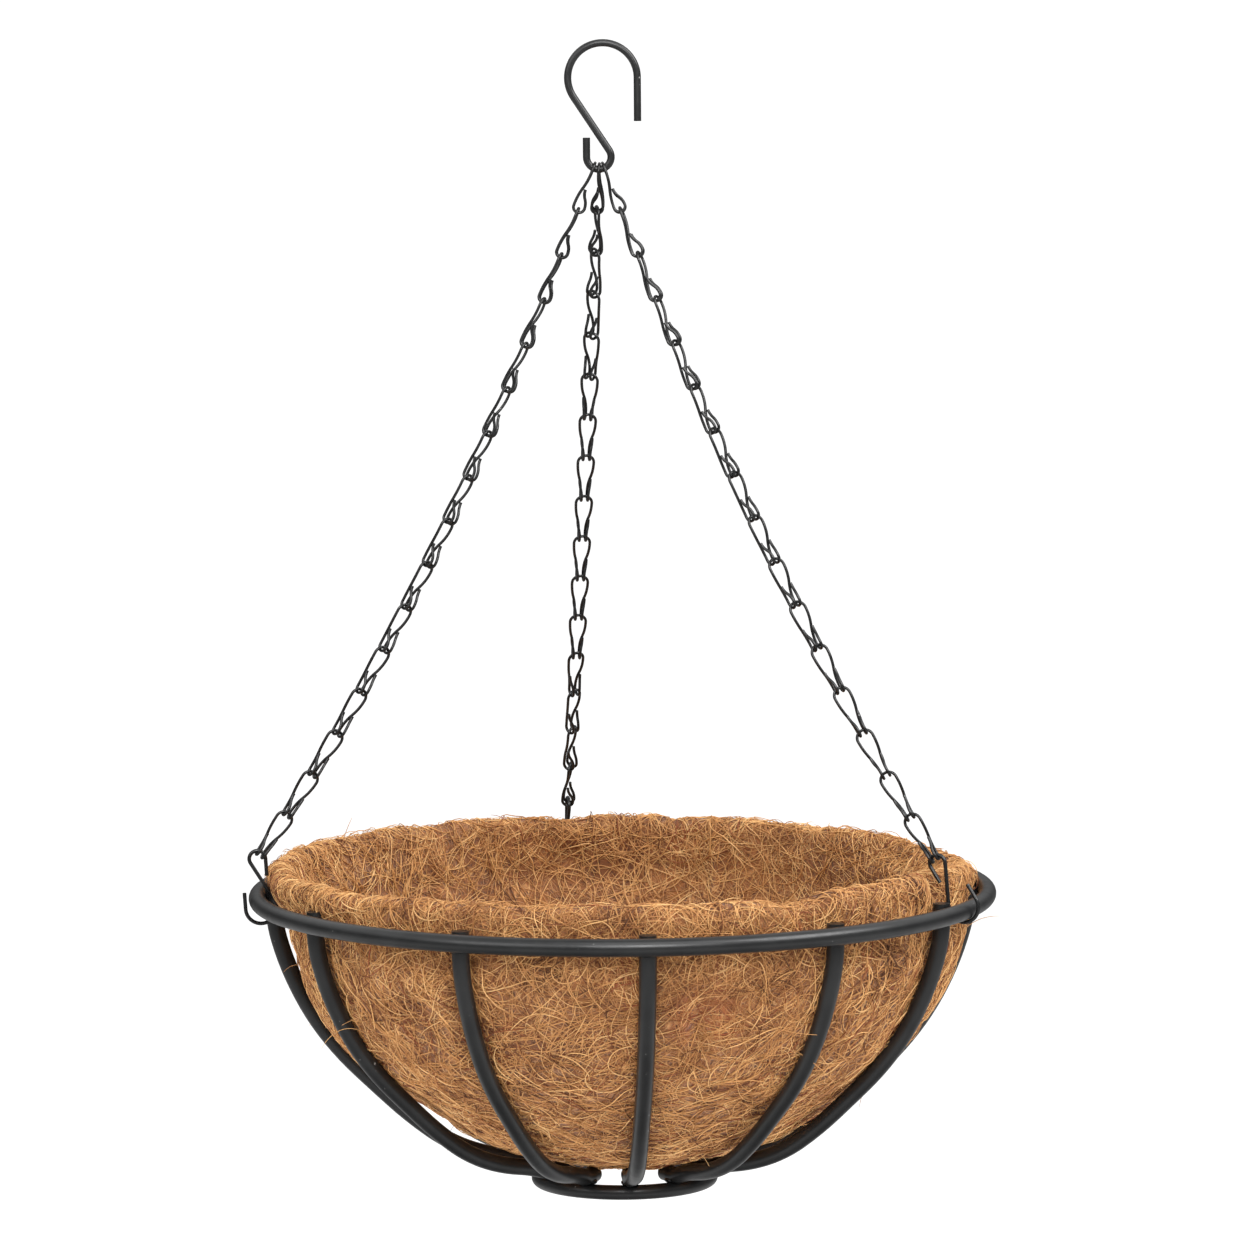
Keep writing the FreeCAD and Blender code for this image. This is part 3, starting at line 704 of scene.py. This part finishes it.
def bead_points(weld, angle):
    """The points of one weld bead: a squashed ball with a slightly lumpy skin, in mm."""
    distance, height, half_out, half_round, half_up = weld
    polar, turn = np.meshgrid(
        np.linspace(0.0, math.pi, BEAD_RINGS + 1)[1:-1], np.arange(BEAD_TURNS) * 2.0 * math.pi / BEAD_TURNS, indexing="ij"
    )
    ball = np.stack([np.sin(polar) * np.cos(turn), np.sin(polar) * np.sin(turn), np.cos(polar)], axis=-1).reshape(-1, 3)
    ball = np.concatenate([ball, [[0.0, 0.0, 1.0], [0.0, 0.0, -1.0]]])
    ball *= 1.0 + 0.08 * value_noise(ball + 10.0 * angle, 0.7, SEED + 9)[:, None]
    out = np.array([math.cos(angle), math.sin(angle), 0.0])
    aside = np.array([-math.sin(angle), math.cos(angle), 0.0])
    up = np.array([0.0, 0.0, 1.0])
    middle = out * distance + up * height
    return middle + ball[:, :1] * half_out * out + ball[:, 1:2] * half_round * aside + ball[:, 2:] * half_up * up


def bead_faces():
    """Quads and end triangles of one bead, numbered from its first point."""
    row, column = np.meshgrid(np.arange(BEAD_RINGS - 2), np.arange(BEAD_TURNS), indexing="ij")
    after = (column + 1) % BEAD_TURNS
    quads = np.stack(
        [row * BEAD_TURNS + column, (row + 1) * BEAD_TURNS + column, (row + 1) * BEAD_TURNS + after, row * BEAD_TURNS + after],
        axis=-1,
    ).reshape(-1, 4)
    turn = np.arange(BEAD_TURNS)
    following = (turn + 1) % BEAD_TURNS
    top = (BEAD_RINGS - 1) * BEAD_TURNS
    last = (BEAD_RINGS - 2) * BEAD_TURNS
    caps = [
        np.stack([np.full(BEAD_TURNS, top), turn, following], axis=1),
        np.stack([np.full(BEAD_TURNS, top + 1), last + following, last + turn], axis=1),
    ]
    return quads, np.concatenate(caps)


def make_welds(coat):
    """Beads where each rib meets the rim and the base ring."""
    quads, caps = bead_faces()
    points, all_quads, all_caps = [], [], []
    for angle in rib_bearings():
        for weld in (RIM_WELD, BASE_WELD):
            start = sum(len(part) for part in points)
            points.append(bead_points(weld, angle))
            all_quads.append(quads + start)
            all_caps.append(caps + start)
    verts = (np.concatenate(points) + RIM_CENTRE) * MM
    welds = mesh_from_arrays("weld_beads", verts, np.concatenate(all_quads), np.concatenate(all_caps))
    welds.data.materials.append(coat)
    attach(welds, "basket")


# ---------------------------------------------------------------- studio


def make_floor():
    """A wide pale floor, a metre below the hanging bowl."""
    half = 400.0
    level = base_low.z - 1.0
    corners = np.array([(-half, -half, level), (half, -half, level), (half, half, level), (-half, half, level)])
    floor = mesh_from_arrays("studio_floor", corners, np.array([[0, 1, 2, 3]]), np.zeros((0, 3), int))
    graph = Graph("studio_floor")
    graph.set("Base Color", (0.95, 0.95, 0.948, 1.0))
    graph.set("Roughness", 0.9)
    graph.set("Emission Color", (1.0, 1.0, 1.0, 1.0))
    graph.set("Emission Strength", 0.40)
    floor.data.materials.append(graph.material)
    floor.visible_glossy = False


# Just over full white, so that the backdrop and the floor meet without a line.
WHITE_BACKGROUND = 1.5
# How bright glossy finishes see the studio, by height: 0 straight below, 0.5 level, 1 straight above.
MIRRORED = ((0.0, 0.08), (0.22, 0.75), (0.46, 0.16), (0.58, 0.08), (0.82, 1.10), (1.0, 0.40))


def mirrored_studio(tree):
    """Brightness of the studio in glossy finishes, as a node that follows the ray's height."""
    direction = tree.nodes.new("ShaderNodeSeparateXYZ")
    tree.links.new(tree.nodes.new("ShaderNodeTexCoord").outputs["Generated"], direction.inputs[0])
    height = tree.nodes.new("ShaderNodeMapRange")
    height.inputs["From Min"].default_value = -1.0
    tree.links.new(direction.outputs["Z"], height.inputs["Value"])
    ramp = tree.nodes.new("ShaderNodeValToRGB")
    tree.links.new(height.outputs["Result"], ramp.inputs["Fac"])
    stops = ramp.color_ramp.elements
    while len(stops) < len(MIRRORED):
        stops.new(0.5)
    for stop, (place, level) in zip(stops, MIRRORED):
        stop.position = place
        stop.color = (level, level, level, 1.0)
    return ramp.outputs["Color"]


def switched(tree, ray, otherwise, when):
    """A strength that takes one value for a kind of ray and another for the rest."""
    step = tree.nodes.new("ShaderNodeMapRange")
    tree.links.new(tree.nodes.new("ShaderNodeLightPath").outputs[ray], step.inputs["Value"])
    for value, socket in ((otherwise, step.inputs["To Min"]), (when, step.inputs["To Max"])):
        if isinstance(value, float):
            socket.default_value = value
        else:
            tree.links.new(value, socket)
    return step.outputs["Result"]


def make_world(ambient):
    """Even surroundings: white to the camera, ambient as light, and graded in glossy finishes."""
    world = bpy.data.worlds.new("studio")
    world.use_nodes = True
    tree = world.node_tree
    lit = switched(tree, "Is Glossy Ray", ambient, mirrored_studio(tree))
    seen = switched(tree, "Is Camera Ray", lit, WHITE_BACKGROUND)
    tree.links.new(seen, tree.nodes["Background"].inputs["Strength"])
    tree.nodes["Background"].inputs["Color"].default_value = (1.0, 1.0, 1.0, 1.0)
    bpy.context.scene.world = world


def make_softbox(name, place, aim, size, power):
    """A square area light looking at a point."""
    lamp = bpy.data.lights.new(name, "AREA")
    lamp.shape = "SQUARE"
    lamp.size = size
    lamp.energy = power
    holder = bpy.data.objects.new(name, lamp)
    holder.location = place
    holder.rotation_euler = (Vector(aim) - Vector(place)).to_track_quat("-Z", "Y").to_euler()
    bpy.context.scene.collection.objects.link(holder)


def make_camera(place, target, tip, lens):
    """A long lens looking slightly down at the basket; tip turns the picture about the line of sight."""
    place, target = Vector(place), Vector(target)
    ahead = (target - place).normalized()
    right = ahead.cross(Vector((0.0, 0.0, 1.0))).normalized()
    up = right.cross(ahead)
    tipped_right = math.cos(tip) * right + math.sin(tip) * up
    tipped_up = -math.sin(tip) * right + math.cos(tip) * up
    turn = Matrix((tipped_right, tipped_up, -ahead)).transposed().to_4x4()
    data = bpy.data.cameras.new("camera")
    data.lens = lens
    data.sensor_width = 36.0
    camera = bpy.data.objects.new("camera", data)
    camera.matrix_world = Matrix.Translation(place) @ turn
    bpy.context.scene.collection.objects.link(camera)
    bpy.context.scene.camera = camera


# ---------------------------------------------------------------- the whole scene


def finish_metal():
    """Gives every carried CAD metal node its coat."""
    frame_coat = powder_coat("powder_coat_frame", 0.009, 0.014, 0.28, 0.36)
    wire_coat = powder_coat("powder_coat_wire", 0.006, 0.010, 0.24, 0.32)
    for name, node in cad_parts.items():
        coat = wire_coat if name.startswith(("chain_", "rim_hook_")) else frame_coat
        node.data.materials.clear()
        node.data.materials.append(coat)
    make_welds(frame_coat)


def make_liner():
    """The felted shell and its loose strands, all riding the basket in place of the CAD liner."""
    grid = shell_grid()
    normals = grid_normals(grid)
    felt = coir_felt()
    tones = [
        coir_strand("coir_strand_brown", HUSK_BROWN, HUSK_TAN),
        coir_strand("coir_strand_tan", HUSK_TAN, HUSK_GOLD),
        coir_strand("coir_strand_gold", HUSK_GOLD, HUSK_STRAW),
        coir_strand("coir_strand_dark", GAP_SHADE_AND_DARK_HUSK, HUSK_RED),
    ]
    shell = make_shell(grid, felt)
    lip_row = int(np.argmax(grid[:, :, 2].mean(axis=1)))
    outside = (3, lip_row)
    inside = (lip_row, ALONG - 4)
    lip = (lip_row - 14, lip_row + 10)
    layers = (
        ("coir_strands_outside_a", 2900, outside, 12, 3.6, 0.040, 1.0, (0.42, 0.30, 0.06, 0.22), 21),
        ("coir_strands_outside_b", 2900, outside, 12, 3.6, 0.055, 1.5, (0.28, 0.42, 0.16, 0.14), 22),
        ("coir_strands_outside_c", 2900, outside, 12, 3.2, 0.070, 1.6, (0.26, 0.40, 0.20, 0.14), 27),
        ("coir_strands_outside_d", 2900, outside, 12, 3.2, 0.075, 2.0, (0.16, 0.40, 0.36, 0.08), 23),
        # The inside layers lean to the tan and gold tones: painted light that brightens the inner wall of the bowl.
        ("coir_strands_inside_a", 2900, inside, 12, 3.4, 0.045, 1.0, (0.10, 0.42, 0.44, 0.04), 24),
        ("coir_strands_inside_b", 2900, inside, 12, 3.4, 0.060, 1.5, (0.05, 0.30, 0.63, 0.02), 25),
        ("coir_strands_lip", 2900, lip, 12, 2.6, 0.070, 3.0, (0.24, 0.44, 0.26, 0.06), 26),
    )
    pieces = [shell]
    tree = wires_near_lip()
    for name, count, rows, steps, stride, curl, lift, weights, seed in layers:
        pieces.append(
            make_strands(
                name, grid, normals, tree, count, rows, steps, stride, curl, lift, weights, tones, SEED + seed
            )
        )
    pieces.append(make_strays(grid, normals, tree, (8, lip_row + 30), tones, SEED + 40))
    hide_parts("coir_liner")
    for piece in pieces:
        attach(piece, "basket")


def light_studio():
    """Soft light from the right, the front, the left and above, with the key on the right."""
    make_world(0.72)
    centre = (0.0, 0.0, -0.45)
    make_softbox("key", (2.2, -0.9, 1.7), centre, 1.7, 60.0)
    make_softbox("left", (-2.0, -2.2, 1.0), centre, 1.6, 18.0)
    make_softbox("front", (0.3, -3.2, 1.3), centre, 1.4, 60.0)
    make_softbox("top", (0.2, -1.3, 2.1), centre, 1.4, 12.0)


def build_scene():
    """Finishes, liner, studio and camera, in that order."""
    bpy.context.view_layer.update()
    finish_metal()
    make_liner()
    make_floor()
    light_studio()
    make_camera((0.0072, -3.5, 0.0479), (0.00708, 0.0, -0.3097), -0.0081, 188.48)
    bpy.context.scene.view_settings.view_transform = "Standard"


build_scene()
